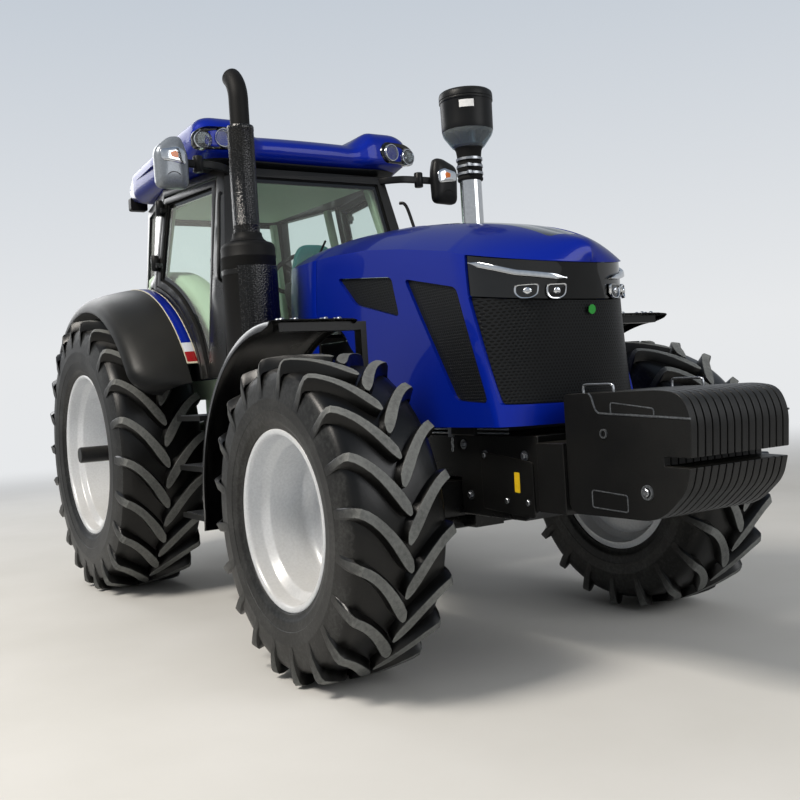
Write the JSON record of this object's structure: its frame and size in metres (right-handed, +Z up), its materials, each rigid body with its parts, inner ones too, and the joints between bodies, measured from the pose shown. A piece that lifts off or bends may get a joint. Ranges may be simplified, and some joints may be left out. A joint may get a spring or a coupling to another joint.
{
  "type": "farm tractor",
  "caption": "Farm tractor with cab, long hood, lugged tyres, ballast plates on the nose and a rear linkage.",
  "frame": {"origin": "on the ground, below the centre of the machine's bounding box", "axes": "+X ahead, +Y to the driver's left, +Z up"},
  "size_m": [5.74, 2.544, 3.165],
  "materials": {
    "blue_paint": "deep royal blue gloss enamel",
    "black_paint": "semi-gloss black chassis paint",
    "black_plastic": "black moulded plastic",
    "gloss_black": "gloss black plastic",
    "tyre_rubber": "tyre rubber, dusty on the tread",
    "rim_silver": "silver-white wheel enamel",
    "steel": "bare and zinc-plated steel",
    "chrome_pipe": "polished pipe and black bowl",
    "cab_glass": "green tinted safety glass",
    "seat_fabric": "teal seat cover",
    "cab_trim": "pale cab trim",
    "lamp_glass": "clear lamp lens",
    "cast_black": "black painted cast iron"
  },
  "bodies": {
    "root": {"ballast_hanger": "black_paint", "ballast_plates": "cast_black", "cab_base": "cab_trim", "cab_frame": "black_paint", "drawbar": "black_paint", "engine_block": "cast_black", "exhaust_can": "black_plastic", "exhaust_stack": "black_paint", "fender_shelf_left": "blue_paint", "fender_shelf_right": "blue_paint", "front_axle_beam": "black_paint", "front_frame": "black_paint", "mirror_left": "black_plastic", "mirror_right": "black_plastic", "radiator_pack": "black_plastic", "rear_axle_housing": "black_paint", "rear_cowl": "blue_paint", "rear_fender_left": "black_plastic", "rear_fender_right": "black_plastic", "rear_glass": "cab_glass", "roof": "blue_paint", "roof_lamps": "lamp_glass", "seat": "seat_fabric", "side_console": "cab_trim", "steering_column": "black_plastic", "steering_cylinder": "black_paint", "tank_and_steps_left": "black_plastic", "tank_and_steps_right": "black_plastic", "transmission": "cast_black", "windshield": "cab_glass"},
    "hood": {"hood_shell": "blue_paint", "lamp_band": "gloss_black", "front_grille": "black_plastic", "side_vents": "black_plastic", "hood_top_panel": "gloss_black", "intake_stack": "chrome_pipe"},
    "door_left": {"door_left": "black_paint", "door_glass_left": "cab_glass"},
    "door_right": {"door_right": "black_paint", "door_glass_right": "cab_glass"},
    "rear_wheel_left": {"rear_tyre_left": "tyre_rubber", "rear_rim_left": "rim_silver", "rear_axle_bar_left": "black_paint"},
    "rear_wheel_right": {"rear_tyre_right": "tyre_rubber", "rear_rim_right": "rim_silver", "rear_axle_bar_right": "black_paint"},
    "knuckle_left": {"knuckle_left": "black_paint", "front_fender_left": "black_plastic"},
    "knuckle_right": {"knuckle_right": "black_paint", "front_fender_right": "black_plastic"},
    "front_wheel_left": {"front_tyre_left": "tyre_rubber", "front_rim_left": "rim_silver"},
    "front_wheel_right": {"front_tyre_right": "tyre_rubber", "front_rim_right": "rim_silver"},
    "steering_rod": {"steering_rod": "steel"},
    "lower_links": {"lower_links": "black_paint"},
    "lift_arms": {"lift_arms": "black_paint"},
    "lift_rods": {"lift_rods": "black_paint"}
  },
  "joints": [
    {"name": "rear_wheel_left_spin", "type": "hinge", "parent": "root", "child": "rear_wheel_left", "pos_m": [-1.67, 0.97, 0.94], "axis": [0, 1, 0], "continuous": true},
    {"name": "rear_wheel_right_spin", "type": "hinge", "parent": "root", "child": "rear_wheel_right", "pos_m": [-1.67, -0.97, 0.94], "axis": [0, 1, 0], "continuous": true},
    {"name": "steer_left", "type": "hinge", "parent": "root", "child": "knuckle_left", "pos_m": [1.36, 0.75, 0.7245], "axis": [0, 0, 1], "range_deg": [-30, 30]},
    {"name": "steer_right", "type": "hinge", "parent": "root", "child": "knuckle_right", "pos_m": [1.36, -0.75, 0.7245], "axis": [0, 0, 1], "range_deg": [-30.5, 30.5]},
    {"name": "front_wheel_left_spin", "type": "hinge", "parent": "knuckle_left", "child": "front_wheel_left", "pos_m": [1.36, 0.9975, 0.7245], "axis": [0, 1, 0], "continuous": true},
    {"name": "front_wheel_right_spin", "type": "hinge", "parent": "knuckle_right", "child": "front_wheel_right", "pos_m": [1.36, -0.9975, 0.7245], "axis": [0, 1, 0], "continuous": true},
    {"name": "steering_rod_slide", "type": "slide", "parent": "root", "child": "steering_rod", "axis": [0, 1, 0], "range_m": [-0.108, 0.108]},
    {"name": "hood_open", "type": "hinge", "parent": "root", "child": "hood", "pos_m": [0.352, 0, 2.205], "axis": [0, -1, 0], "range_deg": [0, 45]},
    {"name": "door_left_open", "type": "hinge", "parent": "root", "child": "door_left", "pos_m": [-1.223, 0.8473, 1.9], "axis": [0, -0.1535, 0.9882], "range_deg": [0, 60]},
    {"name": "door_right_open", "type": "hinge", "parent": "root", "child": "door_right", "pos_m": [-1.223, -0.8473, 1.9], "axis": [0, -0.1535, -0.9882], "range_deg": [0, 60]},
    {"name": "linkage_lift", "type": "hinge", "parent": "root", "child": "lower_links", "pos_m": [-1.79, 0, 0.5], "axis": [0, 1, 0], "range_deg": [-8, 25]},
    {"name": "lift_arms_turn", "type": "hinge", "parent": "root", "child": "lift_arms", "pos_m": [-1.9, 0, 1.08], "axis": [0, 1, 0], "range_deg": [-11, 34]},
    {"name": "lift_rods_turn", "type": "hinge", "parent": "lift_arms", "child": "lift_rods", "pos_m": [-2.23, 0, 1.08], "axis": [0, 1, 0], "range_deg": [-34, 11]}
  ],
  "couplings": [
    {"joint": "steer_right", "follows": "steer_left", "ratio": 1},
    {"joint": "steering_rod_slide", "follows": "steer_left", "m_per_rad": -0.2},
    {"joint": "lift_arms_turn", "follows": "linkage_lift", "ratio": 1.335},
    {"joint": "lift_rods_turn", "follows": "linkage_lift", "ratio": -1.335}
  ]
}
